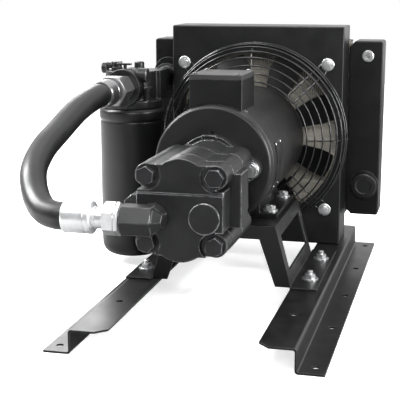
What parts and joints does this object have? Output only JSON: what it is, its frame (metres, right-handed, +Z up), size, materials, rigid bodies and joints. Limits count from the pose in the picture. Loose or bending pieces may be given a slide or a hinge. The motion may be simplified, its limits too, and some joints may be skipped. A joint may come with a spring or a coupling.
{
  "type": "hydraulic oil cooler",
  "caption": "Off-line hydraulic oil cooler: a motor on a stand drives a gear pump and a fan, with hose, spin-on filter and plate-fin core on base rails.",
  "frame": {"origin": "centre of the footprint, at the underside of the base rails", "axes": "+Z up, +Y from the pump at the front to the cooler core at the back, +X to the right seen from the pump"},
  "size_m": [0.405, 0.608, 0.353],
  "materials": {
    "black_powder": "satin powder coat",
    "black_paint": "satin paint",
    "black_wire": "coated wire",
    "cast_iron": "painted as-cast skin",
    "dark_steel": "black oxide",
    "zinc_steel": "bright zinc plate",
    "ground_steel": "ground",
    "core_fins": "dull",
    "bronze": "machined",
    "copper": "varnished wire",
    "hose_rubber": "smooth cover",
    "seal_rubber": "matt",
    "lid_paint": "satin paint",
    "filter_paper": "pleated"
  },
  "bodies": {
    "frame": {"left_rail": "black_powder", "right_rail": "black_powder", "motor_stand": "black_powder", "fan_shroud": "black_powder", "fan_guard": "black_wire", "guard_bolt_1": "zinc_steel", "guard_bolt_2": "zinc_steel", "guard_bolt_3": "zinc_steel", "guard_bolt_4": "zinc_steel", "left_tank_plug": "zinc_steel", "right_tank_plug": "zinc_steel", "flange_bolt_left": "zinc_steel", "flange_bolt_right": "zinc_steel", "lower_swivel_nut": "zinc_steel", "lower_ferrule": "zinc_steel", "upper_swivel_nut": "zinc_steel", "left_tank": "black_paint", "right_tank": "black_paint", "tank_port_cap": "black_paint", "motor_housing": "black_paint", "motor_front_shield": "black_paint", "motor_rear_shield": "black_paint", "motor_foot_left": "black_paint", "motor_foot_right": "black_paint", "terminal_box": "black_paint", "data_plate": "black_paint", "filter_head": "black_paint", "filter_canister": "black_paint", "outlet_fitting": "black_paint", "pressure_test_point": "black_paint", "bleed_plug": "black_paint", "cooler_core": "core_fins", "motor_bearing_front": "ground_steel", "motor_bearing_rear": "ground_steel", "stator_core": "dark_steel", "pump_bolt_1": "dark_steel", "pump_bolt_2": "dark_steel", "pump_bolt_3": "dark_steel", "pump_bolt_4": "dark_steel", "upper_ferrule": "dark_steel", "head_adaptor": "dark_steel", "stator_winding": "copper", "terminal_lid": "lid_paint", "pump_front_cover": "cast_iron", "pump_gear_housing": "cast_iron", "pump_rear_cover": "cast_iron", "pump_port_plug": "cast_iron", "pump_elbow": "cast_iron", "bearing_block_rear": "bronze", "bearing_block_front": "bronze", "pump_shaft_seal": "seal_rubber", "filter_gasket": "seal_rubber", "hose": "hose_rubber", "filter_element": "filter_paper"},
    "rotor": {"motor_shaft": "ground_steel", "rotor_core": "dark_steel", "fan": "black_paint", "drive_gear": "ground_steel"},
    "driven_gear": {"driven_gear": "ground_steel"},
    "bypass_valve": {"bypass_valve": "dark_steel"}
  },
  "joints": [
    {"name": "rotor_spin", "type": "hinge", "parent": "frame", "child": "rotor", "pos_m": [0.02215, 0.07003, 0.191], "axis": [0, 1, 0], "continuous": true},
    {"name": "driven_gear_spin", "type": "hinge", "parent": "frame", "child": "driven_gear", "pos_m": [0.02215, -0.20097, 0.141], "axis": [0, 1, 0], "continuous": true},
    {"name": "bypass_lift", "type": "slide", "parent": "frame", "child": "bypass_valve", "axis": [0, 0, -1], "range_m": [0, 0.004], "stiffness_N_per_m": 1500, "springref_m": -0.003}
  ],
  "couplings": [
    {"joint": "driven_gear_spin", "follows": "rotor_spin", "ratio": -1}
  ]
}
